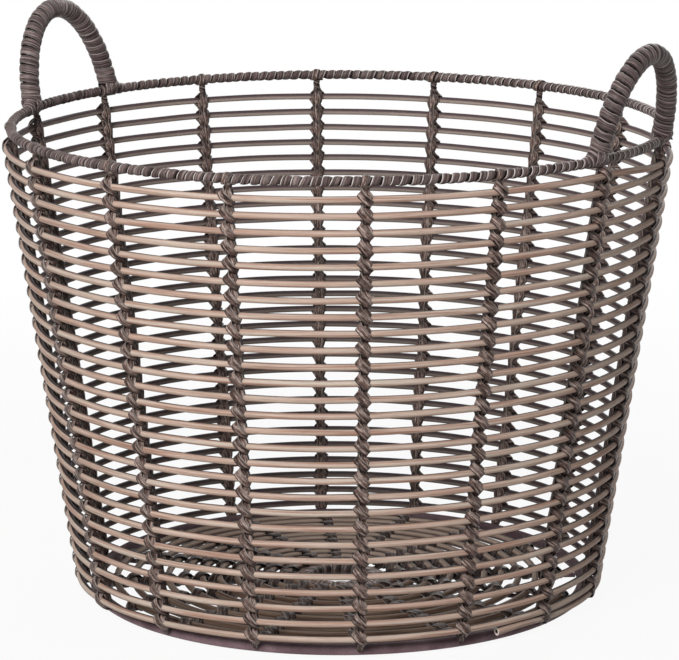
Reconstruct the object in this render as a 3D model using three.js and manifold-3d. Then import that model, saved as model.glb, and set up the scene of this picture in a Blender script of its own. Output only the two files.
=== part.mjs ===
// Round open storage basket, millimetres, +Z up, standing on the plane z = 0.
// A welded frame of wire carries everything: a rim hoop, slanted stakes, a base ring, spokes and a hub.
// One long cane climbs down the outside of the stakes as a helix, and a second one lies on the spokes
// as a flat spiral. A strip lashed along each stake and spoke ties the canes to the frame, and the
// rim hoop and the two handle arches are wound with strip.
import * as THREE from "three";
import { mergeVertices } from "three/addons/utils/BufferGeometryUtils.js";
import Module from "manifold-3d";

const wasm = await Module();
wasm.setup();

// Fit
const clearance = 0.3;
const weld_distance = 1e-4;

// Rim hoop: a steel core in a sleeve of wound strip
const rim_height = 323.5;
const rim_core_diameter = 5;
const rim_wrap_diameter = 7;
const rim_seam = 0.8;

// Wall frame: straight stakes from the base ring up to the rim hoop
const stake_count = 16;
const stake_diameter = 3.2;
const stake_top_radius = 222;
const stake_foot_radius = 173.6;

// Wall cane: one helix outside the stakes
const cane_diameter = 4.5;
const row_pitch = 11.03;
const row_gap = 0.6;
const first_row_drop = 8.8;
const bottom_row_height = 10.7;
const start_stub = 8;
const tail_length = 50;
const tail_drop = 3;

// Base frame and base cane
const base_ring_diameter = 7;
const spoke_diameter = 3.2;
const hub_diameter = 4;
const base_pitch = 11.8;
const base_margin = 4;

// Lashing strip, one for each stake and its spoke
const strip_thickness = 1;
const strip_width = 9;

// Handles: two half-elliptic arches that lean outwards
const handle_half_span = 48.5;
const handle_rise = 65;
const handle_lean = THREE.MathUtils.degToRad(12);
const handle_core_diameter = 10;
const handle_strip_width = 5;
const handle_strip_thickness = 0.9;
const handle_loops = 24;

// Facets
const ring_steps = 48;
const cane_steps = 32;
const cane_sides = 4;
const base_cane_steps = 16;
const wire_sides = 6;
const tube_sides = 8;
const handle_steps = 24;
const handle_strip_steps = 8;

// Places that follow from the sizes above
const turn = 2 * Math.PI;
const bay = turn / stake_count;
const first_stake_angle = bay / 2;
const rim_core_radius = rim_core_diameter / 2;
const rim_wrap_radius = rim_wrap_diameter / 2;
const stake_radius = stake_diameter / 2;
const cane_radius = cane_diameter / 2;
const wall_lean = Math.atan2(stake_top_radius - stake_foot_radius, rim_height);
const stake_top_height = rim_height - rim_core_radius - clearance;
const rim_radius = wallRadius(stake_top_height, 0);
const floor_level = strip_thickness + clearance;
const base_ring_height = floor_level + base_ring_diameter / 2;
const base_ring_radius = wallRadius(base_ring_height, -stake_radius - clearance) - base_ring_diameter / 2;
const spoke_height = floor_level + spoke_diameter / 2;
const base_cane_height = spoke_height + spoke_diameter / 2 + clearance + cane_radius;
const base_cane_outer_radius = base_ring_radius - base_ring_diameter / 2 - base_margin - cane_radius;
const lashing_end_radius = strip_width / 2 / Math.sin(bay / 2) + base_margin;
const base_cane_inner_radius = lashing_end_radius + base_margin + cane_radius;
const hub_radius = lashing_end_radius - base_margin - hub_diameter / 2;
const first_row_height = rim_height - first_row_drop;
const lashing_top = rim_height - rim_wrap_radius - clearance;

// Materials
const cane_finish = new THREE.MeshStandardMaterial({ color: 0x9c8672, roughness: 0.55, metalness: 0 });
const base_cane_finish = new THREE.MeshStandardMaterial({ color: 0x6b5b50, roughness: 0.6, metalness: 0 });
const strip_finish = new THREE.MeshStandardMaterial({ color: 0x4f453f, roughness: 0.6, metalness: 0 });
const steel_finish = new THREE.MeshStandardMaterial({ color: 0x4a3a3c, roughness: 0.45, metalness: 0.3 });

// Radius of the wall at a height, a distance outside (or, below zero, inside) the stakes' centrelines
function wallRadius(height, distance) {
  const slope = (stake_top_radius - stake_foot_radius) / rim_height;
  return stake_foot_radius + slope * height + distance / Math.cos(wall_lean);
}

function polar(radius, angle, height) {
  return new THREE.Vector3(radius * Math.cos(angle), radius * Math.sin(angle), height);
}

function stakeAngle(index) {
  return first_stake_angle + index * bay;
}

function polygon(radius, sides) {
  const corners = [];
  for (let i = 0; i < sides; i += 1) {
    const angle = ((i + 0.5) / sides) * turn;
    corners.push(new THREE.Vector2(radius * Math.cos(angle), radius * Math.sin(angle)));
  }
  return corners;
}

// A route whose steps are equal steps of its own parameter, so that corners land where they are wanted
class Route extends THREE.Curve {
  constructor(placeAt) {
    super();
    this.placeAt = placeAt;
  }
  getPoint(share) {
    return this.placeAt(share);
  }
  getUtoTmapping(share) {
    return share;
  }
}

// The centreline of a handle arch on the +X side, from foot to foot
class Arch extends THREE.Curve {
  getPoint(share) {
    const angle = share * Math.PI;
    const foot_distance = Math.sqrt(rim_radius ** 2 - handle_half_span ** 2);
    const along = handle_rise * Math.sin(angle);
    return new THREE.Vector3(
      foot_distance + along * Math.sin(handle_lean),
      handle_half_span * Math.cos(angle),
      rim_height + along * Math.cos(handle_lean),
    );
  }
}

// Joins rings of section corners into one closed skin with flat ends
function skinOf(rings) {
  const sides = rings[0].length;
  const positions = rings.flat().flatMap((corner) => corner.toArray());
  const faces = [];
  for (let i = 0; i + 1 < rings.length; i += 1) {
    for (let j = 0; j < sides; j += 1) {
      const here = i * sides + j;
      const beside = i * sides + ((j + 1) % sides);
      faces.push(here, beside, here + sides);
      faces.push(beside, beside + sides, here + sides);
    }
  }
  const last = (rings.length - 1) * sides;
  for (let j = 1; j + 1 < sides; j += 1) {
    faces.push(0, j + 1, j);
    faces.push(last, last + j, last + j + 1);
  }
  const geometry = new THREE.BufferGeometry();
  geometry.setAttribute("position", new THREE.Float32BufferAttribute(positions, 3));
  geometry.setIndex(faces);
  geometry.computeVertexNormals();
  return geometry;
}

// The least distance between section corners that are at least so many rings apart
function leastGap(rings, apart) {
  let least = Infinity;
  for (let i = 0; i < rings.length; i += 1) {
    for (let j = i + apart; j < rings.length; j += 1) {
      for (const here of rings[i]) {
        for (const there of rings[j]) {
          least = Math.min(least, here.distanceTo(there));
        }
      }
    }
  }
  return least;
}

function solidOf(geometry) {
  const bare = geometry.clone();
  bare.deleteAttribute("normal");
  bare.deleteAttribute("uv");
  const merged = mergeVertices(bare, weld_distance);
  return new wasm.Manifold(
    new wasm.Mesh({
      numProp: 3,
      vertProperties: merged.attributes.position.array,
      triVerts: new Uint32Array(merged.index.array),
    }),
  );
}

function geometryOf(solid) {
  const mesh = solid.getMesh();
  const geometry = new THREE.BufferGeometry();
  geometry.setAttribute("position", new THREE.BufferAttribute(mesh.vertProperties, 3));
  geometry.setIndex(new THREE.BufferAttribute(mesh.triVerts, 1));
  geometry.computeVertexNormals();
  return geometry;
}

function node(name, geometry, material) {
  const mesh = new THREE.Mesh(geometry, material);
  mesh.name = name;
  return mesh;
}

// A round hoop about the Z axis
function hoop(radius, wire_radius, height, steps) {
  const section = polygon(wire_radius, tube_sides).map((p) => new THREE.Vector2(radius + p.x, height + p.y));
  const profile = [...section, section[0]];
  const geometry = new THREE.LatheGeometry(profile, steps);
  return geometry.rotateX(Math.PI / 2);
}

// A straight wire between two points
function wire(start, end, radius) {
  const geometry = new THREE.CylinderGeometry(radius, radius, start.distanceTo(end), wire_sides);
  const direction = end.clone().sub(start).normalize();
  geometry.applyQuaternion(new THREE.Quaternion().setFromUnitVectors(new THREE.Vector3(0, 1, 0), direction));
  const middle = start.clone().add(end).multiplyScalar(1 / 2);
  return geometry.translate(middle.x, middle.y, middle.z);
}

// A stake at angle zero, from just above the floor strip up to a height
function stakeWire(radius, high) {
  const low = floor_level + stake_radius * Math.sin(wall_lean);
  return wire(polar(wallRadius(low, 0), 0, low), polar(wallRadius(high, 0), 0, high), radius);
}

// The space that a stake needs in what it passes through, up into the middle of the rim
function stakeSpace() {
  return stakeWire(stake_radius + clearance, rim_height);
}

// A handle tube on the +X side, cut off flat at its feet
function archTube(radius, foot_height) {
  const tube = new THREE.ExtrudeGeometry(new THREE.Shape(polygon(radius, tube_sides)), {
    steps: handle_steps,
    extrudePath: new Arch(),
  });
  const reach = 2 * (handle_half_span + handle_core_diameter);
  const under = new THREE.BoxGeometry(reach, reach, handle_core_diameter);
  under.translate(rim_radius, 0, foot_height - handle_core_diameter / 2);
  return solidOf(tube).subtract(solidOf(under));
}

function rimCore() {
  return hoop(rim_radius, rim_core_radius, rim_height, ring_steps);
}

// The wound sleeve of the rim, open at its seam, with holes where stakes and handle feet reach the core
function rimWrap() {
  const bore_radius = rim_core_radius + clearance / Math.cos(Math.PI / tube_sides);
  const section = new THREE.Shape(polygon(rim_wrap_radius, tube_sides));
  section.holes.push(new THREE.Path(polygon(bore_radius, tube_sides)));
  const half_seam = rim_seam / 2 / rim_radius;
  const route = new Route((share) => {
    const opening = Math.max(1 - share * ring_steps, 0) - Math.max(1 - (1 - share) * ring_steps, 0);
    return polar(rim_radius, share * turn + half_seam * opening - turn / 4, rim_height);
  });
  let sleeve = solidOf(new THREE.ExtrudeGeometry(section, { steps: ring_steps, extrudePath: route }));
  for (let i = 0; i < stake_count; i += 1) {
    sleeve = sleeve.subtract(solidOf(stakeSpace().rotateZ(stakeAngle(i))));
  }
  const foot = archTube(handle_core_diameter / 2 + clearance, rim_height + rim_core_radius);
  sleeve = sleeve.subtract(foot).subtract(foot.rotate([0, 0, 180]));
  return geometryOf(sleeve);
}

function handleCore() {
  return geometryOf(archTube(handle_core_diameter / 2, rim_height + rim_core_radius + clearance));
}

// The strip wound round a handle core: one unbroken flat band with a rectangular section
function handleStrip() {
  const arch = new Arch();
  const length = arch.getLength();
  const inner = (handle_core_diameter / 2 + clearance) / Math.cos(Math.PI / handle_strip_steps);
  const outer = inner + handle_strip_thickness;
  const foot = rim_wrap_radius + clearance + handle_strip_width / 2 + outer * Math.sin(handle_lean);
  const start = foot / Math.cos(handle_lean) / length;
  const across = new THREE.Vector3(Math.cos(handle_lean), 0, -Math.sin(handle_lean));
  const rings = [];
  for (let i = 0; i <= handle_loops * handle_strip_steps; i += 1) {
    const share = start + (1 - 2 * start) * (i / (handle_loops * handle_strip_steps));
    const angle = (i / handle_strip_steps) * turn;
    const tangent = arch.getTangentAt(share);
    const inward = across.clone().cross(tangent);
    const spoke = across.clone().multiplyScalar(Math.cos(angle)).addScaledVector(inward, Math.sin(angle));
    const centre = arch.getPointAt(share);
    const corner = (radius, side) => {
      const edge = centre.clone().addScaledVector(tangent, (side * handle_strip_width) / 2);
      return edge.addScaledVector(spoke, radius);
    };
    rings.push([corner(inner, -1), corner(outer, -1), corner(outer, 1), corner(inner, 1)]);
  }
  console.log("handle strip, least gap to itself", leastGap(rings, handle_strip_steps - 1).toFixed(2), "mm");
  return skinOf(rings);
}

// Height of the wall cane's centreline after so many turns from the first stake
function rowHeight(turns, last_turns) {
  const rise = THREE.MathUtils.smoothstep(turns, 0, 1 / stake_count);
  const start_dip = (row_pitch - cane_diameter - row_gap) * (1 - rise);
  const lashed = first_row_height - row_pitch * Math.max(turns, 0) - start_dip;
  const level = Math.max(lashed, bottom_row_height);
  return turns <= last_turns ? level : level - tail_drop * ((turns - last_turns) / tailTurns());
}

function tailTurns() {
  return tail_length / (turn * wallRadius(bottom_row_height, 0));
}

// The wall cane: it starts just before the first stake, runs clockwise and down, lies tight under the row
// above where it runs out, and ends in a loose tail past its last lashing
function wallCane() {
  const turns_that_fit = 1 + (first_row_height - bottom_row_height - cane_diameter - row_gap) / row_pitch;
  const last_turns = Math.floor(turns_that_fit * stake_count) / stake_count;
  const offset = stake_radius + clearance + cane_radius;
  const places = [-start_stub / (turn * wallRadius(first_row_height, 0))];
  for (let i = 0; i <= Math.round(last_turns * cane_steps); i += 1) {
    places.push(i / cane_steps);
  }
  places.push(last_turns + tailTurns() / 2, last_turns + tailTurns());
  const rings = places.map((turns) => {
    const height = rowHeight(turns, last_turns);
    const angle = first_stake_angle - turns * turn;
    return sectionRing(wallRadius(height, offset), angle, height, cane_radius);
  });
  console.log("wall cane, least gap to itself", leastGap(rings, cane_steps - 2).toFixed(2), "mm");
  return skinOf(rings);
}

// Section corners in the upright plane through the axis, the first one pointing outwards
function sectionRing(radius, angle, height, section_radius) {
  const corners = [];
  for (let i = 0; i < cane_sides; i += 1) {
    const around = (i / cane_sides) * turn;
    corners.push(
      polar(radius + section_radius * Math.cos(around), angle, height + section_radius * Math.sin(around)),
    );
  }
  return corners;
}

function baseRing() {
  return hoop(base_ring_radius, base_ring_diameter / 2, base_ring_height, cane_steps);
}

function baseHub() {
  return hoop(hub_radius, hub_diameter / 2, spoke_height, stake_count);
}

function spokeWire() {
  const inner = hub_radius + hub_diameter / 2 + clearance;
  const outer = base_ring_radius - base_ring_diameter / 2 - clearance;
  return wire(polar(inner, 0, spoke_height), polar(outer, 0, spoke_height), spoke_diameter / 2);
}

// The base cane: a flat spiral from the ring in to the hub
function baseCane() {
  const turns = (base_cane_outer_radius - base_cane_inner_radius) / base_pitch;
  const steps = Math.round(turns * base_cane_steps);
  const rings = [];
  for (let i = 0; i <= steps; i += 1) {
    const radius = base_cane_outer_radius - base_pitch * (i / base_cane_steps);
    const angle = first_stake_angle - (i / base_cane_steps) * turn;
    rings.push(sectionRing(radius, angle, base_cane_height, cane_radius));
  }
  console.log("base cane, least gap to itself", leastGap(rings, base_cane_steps - 2).toFixed(2), "mm");
  return skinOf(rings);
}

// The outline of a lashing in the upright plane of its stake: down outside the canes from under the rim,
// in under the base ring and spoke, back over the base canes and up inside the stake
function lashingOutline() {
  const at = (distance, height) => new THREE.Vector2(wallRadius(height, distance), height);
  const inside = -stake_radius - clearance;
  const outside = stake_radius + clearance + cane_diameter + clearance;
  const row_top = first_row_height + cane_radius;
  const row_bottom = bottom_row_height - cane_radius;
  const base_low = base_cane_height + cane_radius + clearance;
  const base_high = base_low + strip_thickness;
  const heel = wallRadius(0, stake_radius + clearance);
  return [
    new THREE.Vector2(lashing_end_radius, 0),
    new THREE.Vector2(heel + strip_thickness, 0),
    at(outside + strip_thickness, row_bottom),
    at(outside + strip_thickness, row_top),
    new THREE.Vector2(rim_radius + rim_wrap_radius, lashing_top),
    at(inside - strip_thickness, lashing_top),
    at(inside - strip_thickness, base_high),
    new THREE.Vector2(lashing_end_radius, base_high),
    new THREE.Vector2(lashing_end_radius, base_low),
    at(inside, base_low),
    at(inside, lashing_top - strip_thickness),
    new THREE.Vector2(rim_radius + rim_wrap_radius - strip_thickness, lashing_top - strip_thickness),
    at(outside, row_top),
    at(outside, row_bottom),
    new THREE.Vector2(heel, strip_thickness),
    new THREE.Vector2(lashing_end_radius, strip_thickness),
  ];
}

function lashing() {
  const band = new THREE.ExtrudeGeometry(new THREE.Shape(lashingOutline()), {
    depth: strip_width,
    bevelEnabled: false,
  });
  band.translate(0, 0, -strip_width / 2).rotateX(Math.PI / 2);
  return geometryOf(solidOf(band).subtract(solidOf(stakeSpace())));
}

function numbered(name, index) {
  return name + "_" + String(index + 1).padStart(2, "0");
}

function rim() {
  const group = new THREE.Group();
  group.add(node("rim_core", rimCore(), steel_finish));
  group.add(node("rim_wrap", rimWrap(), strip_finish));
  return group;
}

function handles() {
  const group = new THREE.Group();
  const core = handleCore();
  const strip = handleStrip();
  ["right", "left"].forEach((side, index) => {
    const handle = new THREE.Group();
    handle.add(node("handle_core_" + side, core, steel_finish));
    handle.add(node("handle_wrap_" + side, strip, strip_finish));
    handle.rotation.z = index * Math.PI;
    group.add(handle);
  });
  return group;
}

// One stake with its spoke and lashing, sixteen times round the axis
function bays() {
  const group = new THREE.Group();
  const stake = stakeWire(stake_radius, stake_top_height);
  const spoke = spokeWire();
  const band = lashing();
  for (let i = 0; i < stake_count; i += 1) {
    const rib = new THREE.Group();
    rib.add(node(numbered("stake", i), stake, steel_finish));
    rib.add(node(numbered("spoke", i), spoke, steel_finish));
    rib.add(node(numbered("lashing", i), band, strip_finish));
    rib.rotation.z = stakeAngle(i);
    group.add(rib);
  }
  return group;
}

function base() {
  const group = new THREE.Group();
  group.add(node("base_ring", baseRing(), steel_finish));
  group.add(node("base_hub", baseHub(), steel_finish));
  group.add(node("base_cane", baseCane(), base_cane_finish));
  return group;
}

const basket = new THREE.Group();
basket.add(rim(), handles(), bays(), base(), node("wall_cane", wallCane(), cane_finish));

export default basket;
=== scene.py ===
import math

import bpy
import numpy as np
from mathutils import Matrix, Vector


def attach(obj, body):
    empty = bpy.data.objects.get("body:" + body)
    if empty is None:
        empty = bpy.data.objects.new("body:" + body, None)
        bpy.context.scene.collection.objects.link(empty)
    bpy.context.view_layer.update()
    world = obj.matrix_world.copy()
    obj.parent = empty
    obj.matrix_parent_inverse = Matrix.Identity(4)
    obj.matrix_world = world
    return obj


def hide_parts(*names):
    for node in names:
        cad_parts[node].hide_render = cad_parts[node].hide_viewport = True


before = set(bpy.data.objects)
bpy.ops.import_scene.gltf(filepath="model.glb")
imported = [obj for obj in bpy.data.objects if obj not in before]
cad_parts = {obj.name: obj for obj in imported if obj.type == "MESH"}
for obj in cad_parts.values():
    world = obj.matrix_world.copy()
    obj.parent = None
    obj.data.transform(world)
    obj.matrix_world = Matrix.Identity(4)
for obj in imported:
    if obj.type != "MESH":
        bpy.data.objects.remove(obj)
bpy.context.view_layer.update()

MM = 0.001
TURN = 2 * math.pi

# Frame of the basket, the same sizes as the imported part
RIM_RADIUS = 221.581 * MM
RIM_HEIGHT = 323.5 * MM
STAKE_COUNT = 16
STAKE_RADIUS = 1.6 * MM
STAKE_TOP_RADIUS = 222 * MM
STAKE_FOOT_RADIUS = 173.6 * MM
STAKE_TOP = 320.5 * MM
STAKE_FOOT = 5 * MM
BASE_RING_WIRE = 3.8 * MM
BASE_RING_HEIGHT = 4.6 * MM
SPOKE_HEIGHT = 2.9 * MM
SPOKE_OUTER = 165 * MM
BASE_STRIP_OUTER = 162 * MM
HUB_RADIUS = 21.07 * MM
HUB_WIRE = 2 * MM

# Canes
CANE_RADIUS = 2.25 * MM
CANE_BORE_SHARE = 0.5
CANE_BORE_DEPTH = 7 * MM
CUT_SLOT = 1
BORE_SLOT = 2
CANE_OFFSET = 4.15 * MM
ROW_PITCH = 11.03 * MM
ROW_GAP = 0.6 * MM
FIRST_ROW = 314.7 * MM
BOTTOM_ROW = 10.7 * MM
START_STUB = 8 * MM
TAIL_LENGTH = 42.7 * MM
TAIL_RISE = 0.6 * MM
TAIL_DROP = 2 * MM
TAIL_FLARE = 1.2
ROW_WAVER = 0.45 * MM
BASE_CANE_OUTER = 159.147 * MM
BASE_CANE_INNER = 32.2 * MM
BASE_PITCH = 11.8 * MM
BASE_WAVER = 0.15 * MM
RING_GAP = 0.3 * MM
MOST_ROWS = 40
SAME_TURN = 1e-6

# Wound strip of the rim and the handles
TURN_COVER = 0.96
SAG_CURVE = 2.4
RIM_TURNS = 224
RIM_STRIP_INNER = 2.4 * MM
RIM_STRIP_OUTER = 3.5 * MM
RIM_STRIP_ROOM = 0.15 * MM
RIM_STRIP_WAVER = 0.14 * MM
RIM_STRIP_LIFT = 0.26 * MM
RIM_STRIP_SAG = 0.66
RIM_STRIP_BOW = 0.12
HANDLE_HALF_SPAN = 48.5 * MM
HANDLE_RISE = 65 * MM
HANDLE_LEAN = math.radians(12)
HANDLE_TURNS = 28
HANDLE_START = 0.6 * MM
HANDLE_STRIP_INNER = 5.4 * MM
HANDLE_STRIP_OUTER = 6.9 * MM
HANDLE_STRIP_SAG = 0.34
HANDLE_STRIP_LIFT = 0.14 * MM
HANDLE_LIFT_WAVER = 0.2 * MM
HANDLE_STRIP_WAVER = 0.12 * MM
HANDLE_SLIT_SIDE = math.radians(-72)
HANDLE_SLIT = 0.22
HANDLE_SLIT_FADE = (0.84, 0.96)
ELBOW_REACH = 11.5 * MM
ELBOW_LEG_STEP = 1 * MM
ELBOW_TURNS = 4
ELBOW_HOLD = 0.55
ELBOW_SPREAD = 1.25
ELBOW_SINK = 0.6 * MM
ELBOW_SWELL = 0.1 * MM
ELBOW_THICKNESS = 0.95 * MM
ELBOW_SEEDS = {1: 3, -1: 5}

# Lashing strip
LASH_WIDTH = 5.4 * MM
RUNNER_WIDTH = 4.2 * MM
SPINE_WIDTH = 3.8 * MM
BASE_WRAP_WIDTH = 1.35 * LASH_WIDTH
BASE_RUNNER_WIDTH = 1.3 * RUNNER_WIDTH
HUB_STRIP_WIDTH = 1.4 * LASH_WIDTH
LOOSE_END_WIDTH = 0.4 * RUNNER_WIDTH
LASH_THICKNESS = 0.65 * MM
HEEL = 5.2 * MM
KNOT_FOOT = 7.2 * MM
NECK = 5.5 * MM
RIM_CLEARANCE = 3.8 * MM
FACING_PROBE = 0.1 * MM

# How far parts of a lashing lie along the stake from the cane that they cross
WRAP_RISE = 4.1 * MM
WRAP_CREST = 2.6 * MM
WRAP_FALL = 2.2 * MM
WRAP_DROP = 3.6 * MM
WRAP_TILT = 0.35 * MM
RUNNER_RISE = 3.6 * MM
RUNNER_CREST = 1.5 * MM
RUNNER_FALL = 0.8 * MM
RUNNER_DROP = 2.8 * MM
RIGHT_FOLD = [2.6 * MM, 0.4 * MM, -2.0 * MM, -4.4 * MM]
RIGHT_FOLD_TAIL = 1.2 * MM
LEFT_FOLD = [1.7 * MM, -1.0 * MM, -3.2 * MM]
LEFT_FOLD_HEAD = 1.4 * MM
SPINE_RISE = 4.2 * MM
SPINE_DROP = 1.2 * MM
HEEL_HEAD = 2.4 * MM
HEEL_NECK = 0.4 * MM

# Control rows of the strips that follow a stake or a spoke: millimetres across and outward, the way that the
# strip faces (across, outward, along), and its share of the full width, which also sets its painted light
WRAP_ROWS = [
    (0, -2.1, 0, -1, 0, 0.7),
    (-2.5, 0.4, -1, 0.1, 0, 0.8),
    (-3.6, 3.9, -0.55, 0.55, 0.6, 1),
    (-2.5, 6.3, -0.3, 0.8, 0.5, 1),
    (0, 7.1, 0, 1, 0, 1),
    (2.3, 6.4, 0.25, 0.85, -0.45, 1),
    (3.5, 4.1, 0.6, 0.5, -0.6, 1),
    (2.5, 0.4, 1, 0.1, 0, 0.8),
]
RUNNER_ROWS = [
    (0.3, 2.3, 0.1, 1, 0, 0.8),
    (0.8, 4.1, 0.1, 0.8, 0.55, 1.1),
    (2.3, 5.9, 0.25, 0.9, 0.3, 1.1),
    (1.9, 6.2, 0.2, 1, -0.2, 1),
    (0.5, 5.1, 0, 0.8, -0.5, 0.9),
]
RIGHT_FOLD_ROWS = [
    (0.6, -2.3, 0.4, -1, 0, 0.5),
    (1.0, -2.2, 0.5, -1, 0.1, 0.8),
    (2.0, -1.6, 0.75, -0.7, 0.1, 1),
    (3.1, -0.8, 0.7, -0.7, -0.2, 1),
    (2.3, -1.2, 0.7, -0.7, -0.2, 0.8),
    (1.0, -2.1, 0.6, -0.8, 0, 0.65),
    (0.4, -2.3, 0.3, -1, 0, 0.5),
]
LEFT_FOLD_ROWS = [
    (-0.4, -2.3, -0.3, -1, 0, 0.5),
    (-0.8, -2.2, -0.6, -0.9, 0.2, 0.75),
    (-2.5, -1.1, -0.7, -0.7, 0.2, 1),
    (-2.6, -1.1, -0.6, -0.8, -0.2, 1),
    (-1.8, -1.7, -0.4, -0.9, 0, 0.8),
    (-0.8, -2.2, -0.3, -1, 0, 0.6),
]
FLANK_ROWS = [(1.6, 0.6, 1, 0, 0, 0.6), (2.1, 1.5, 1, 0.1, 0, 1), (2.4, 0, 1, -0.2, 0, 0.8)]
SPINE_ROWS = [(0, -1.9, 0, -1, 0, 0.7), (0.2, -2.35, 0.1, -1, 0, 0.9), (-0.15, -2.75, -0.1, -1, 0, 1.1)]
HEEL_ROWS = [
    (0, 2.6, 0, 1, 0.2, 1),
    (0.1, 2.1, 0, 1, 0.1, 1),
    (0, 1.95, 0, 1, 0, 1),
    (-0.1, 1.4, 0, 1, 0, 0.5),
]

# The same for the strip over the hub and the loose end at a foot, with millimetres along as the third number
HUB_ROWS = [
    (0, 2.4, 32, 0, 1, 0, 1.5),
    (0.4, 3.6, 27.5, 0, 1, 0.2, 1.4),
    (0.6, 4.6, 22.5, 0, 1, 0, 1.2),
    (0.4, 3.9, 19.2, 0, 0.8, -0.6, 1),
    (0, 1.2, 18.0, 0, 0.1, -1, 1),
    (-0.4, -1.6, 18.9, 0, -0.7, -0.7, 1),
    (-0.6, -2.15, 21.5, 0, -1, 0, 1),
    (-0.6, -1.9, 26, 0, -1, 0, 1),
]
LOOSE_END_ROWS = [
    (4.0, 2.0, 2.2, 0, 0.8, 0.6, 1),
    (6.4, 3.4, 2.4, -0.2, 0.6, 0.8, 1),
    (8.6, 4.6, 1.0, 0.3, 0.4, 0.9, 1),
    (10.4, 5.4, -1.4, 0.6, 0.4, 0.7, 1),
]

# Plain turns of strip: over the rim, round a stake's neck, and round the handles' feet
RIM_LOOP_EIGHTHS = 10
RIM_LOOP_REACH = 3.7 * MM
RIM_LOOP_START = 3.2 * MM
RIM_LOOP_STEP = 0.66 * MM
COIL_RADIUS = 1.95 * MM
COIL_PITCH = 4.6 * MM
COIL_OVERLAP = 1 * MM
FOOT_BANDS = [(-4.6 * MM, 1.2 * MM), (-1.0 * MM, 0.9 * MM), (2.8 * MM, 1.2 * MM)]
BAND_TOP = 7 * MM
BAND_MIDDLE = 3.4 * MM
BAND_INSIDE = 4.0 * MM
BAND_OUTSIDE = 4.1 * MM
BAND_LOW = 1.2 * MM
BAND_UNDER = 3.7 * MM

# Rates of the wavers, per turn of the rows or per radian of a winding
ROW_WAVES = (5.3, 11.7, 23.1)
BASE_WAVES = (4.1, 9.3)
BOW_WAVES = (67, 151)
RIM_WAVES = (0.37, 0.83, 1.7)
LIFT_WAVES = (0.21, 0.47, 1.0)
HANDLE_WAVES = (0.31, 0.73)

# Steps of the meshes
CANE_STEPS = 192
CANE_SIDES = 16
BASE_CANE_STEPS = 96
HOOP_STEPS = 256
HOOP_SIDES = 16
ROD_STEPS = 12
ROD_SIDES = 12
WIND_STEPS = 26
SPAN_STEPS = 4
INNER_STEPS = 3
STRIP_COLUMNS = 7
ARCH_SAMPLES = 1200
SHARP_ANGLE = math.radians(38)

# Finishes: display colours of 0 to 255, painted light and shade round a section, shares, and how deep a
# grain is
CANE_TONES = [(217, 201, 188), (213, 189, 175), (203, 173, 158), (179, 143, 127)]
# Inward side of the wall cane: its own dark tone at the edges, and a light middle that is painted light
# bounced up from the floor
CANE_BACK_TONES = [(98, 80, 82), (202, 184, 173)]
# The base cane's outer side: the wall cane's tones darkened as painted shade, for the base deep in the
# basket
BASE_CANE_SHADED_TONES = [(150, 130, 114), (138, 116, 101), (120, 97, 84), (96, 75, 64)]
BASE_CANE_BACK_TONES = [(202, 178, 162), (112, 92, 85)]
CANE_WARMTH = [(0.3, (0.84, 0.8, 0.76, 1)), (0.45, (0.97, 0.93, 0.9, 1)), (0.6, (1.0, 1.02, 1.0, 1))]
# Painted shade round the cane's outer side: darker towards its upper edge, and more towards its lower edge
CANE_UNDERSIDE_SHADE = [
    (0.0, 1),
    (0.12, 1.02),
    (0.19, (0.8, 0.77, 0.75, 1)),
    (0.81, (0.62, 0.58, 0.555, 1)),
    (0.9, (0.84, 0.81, 0.79, 1)),
    (1.0, 1),
]
CUT_TONES = [(214, 198, 186), (240, 227, 218)]
# Painted shade inside the cane's bore
BORE_SHADE_TONES = [(66, 48, 42), (96, 74, 64)]
# Strip tones run dark, middle, light and edge; the pale edge tone is partly worn cut edge and partly painted
# highlight
RIM_STRIP_TONES = [(62, 48, 46), (102, 86, 83), (152, 136, 132), (238, 228, 224)]
HANDLE_STRIP_TONES = [(64, 50, 49), (110, 94, 92), (170, 154, 150), (220, 209, 205)]
LASH_TONES = [(22, 12, 11), (110, 87, 80), (192, 173, 164), (220, 205, 195)]
WIRE_TONES = [(104, 84, 89), (134, 112, 117)]
RING_TONES = [(112, 90, 95), (142, 118, 123)]
PADDING_TONES = [(30, 22, 21), (44, 34, 33)]
# Painted shade round a strip's section: in the slit at each wound turn's low edge, and at a flat strip's
# edges and underside
WOUND_EDGE_SHADE = [(0.5, 1), (0.61, 0.3), (0.8, 0.3), (0.84, 1)]
FLAT_EDGE_SHADE = [(0.0, 0.3), (0.04, 0.42), (0.1, 1), (0.44, 1), (0.51, 0.34), (0.92, 0.3), (1.0, 0.3)]
# Painted light and shade round the base ring: dark on its top and inner side, a painted highlight low on its
# outer side
RING_PAINTED_LIGHT = [(0.0, 0.6), (0.14, 0.6), (0.26, 1), (0.4, 1.5), (0.52, 1.2), (0.66, 0.5), (1.0, 0.6)]
RIM_STRIP_LOOK = dict(streaks=0.7, patchy=0.15, wear_and_light=0.9, gloss=0.5, mottled=0.26)
HANDLE_STRIP_LOOK = dict(streaks=0.8, patchy=0.25, wear_and_light=0.35, gloss=0.75, mottled=0.42)
LASH_LOOK = dict(streaks=0.65, patchy=0.35, wear_and_light=0.4, gloss=0.9, mottled=0.26)
# Painted shade: the share of colour that the cane's inward side keeps low in the basket
CANE_BACK_LOW_SHADE = 0.5
BASE_CANE_BACK_LOW_SHADE = 0.9
CANE_GRAIN = 0.12 * MM
STRIP_GRAIN = 0.3 * MM
WIRE_GRAIN = 0.05 * MM
RESIN_SHINE = 0.16
WIRE_SHINE = 0.12
PAPER_SHINE = 0.1
PLAIN_SHINE = 0.5
HEEL_LIGHT = 0.8
INNER_LIGHT = 0.96
BASE_LIGHT = 0.79

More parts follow.
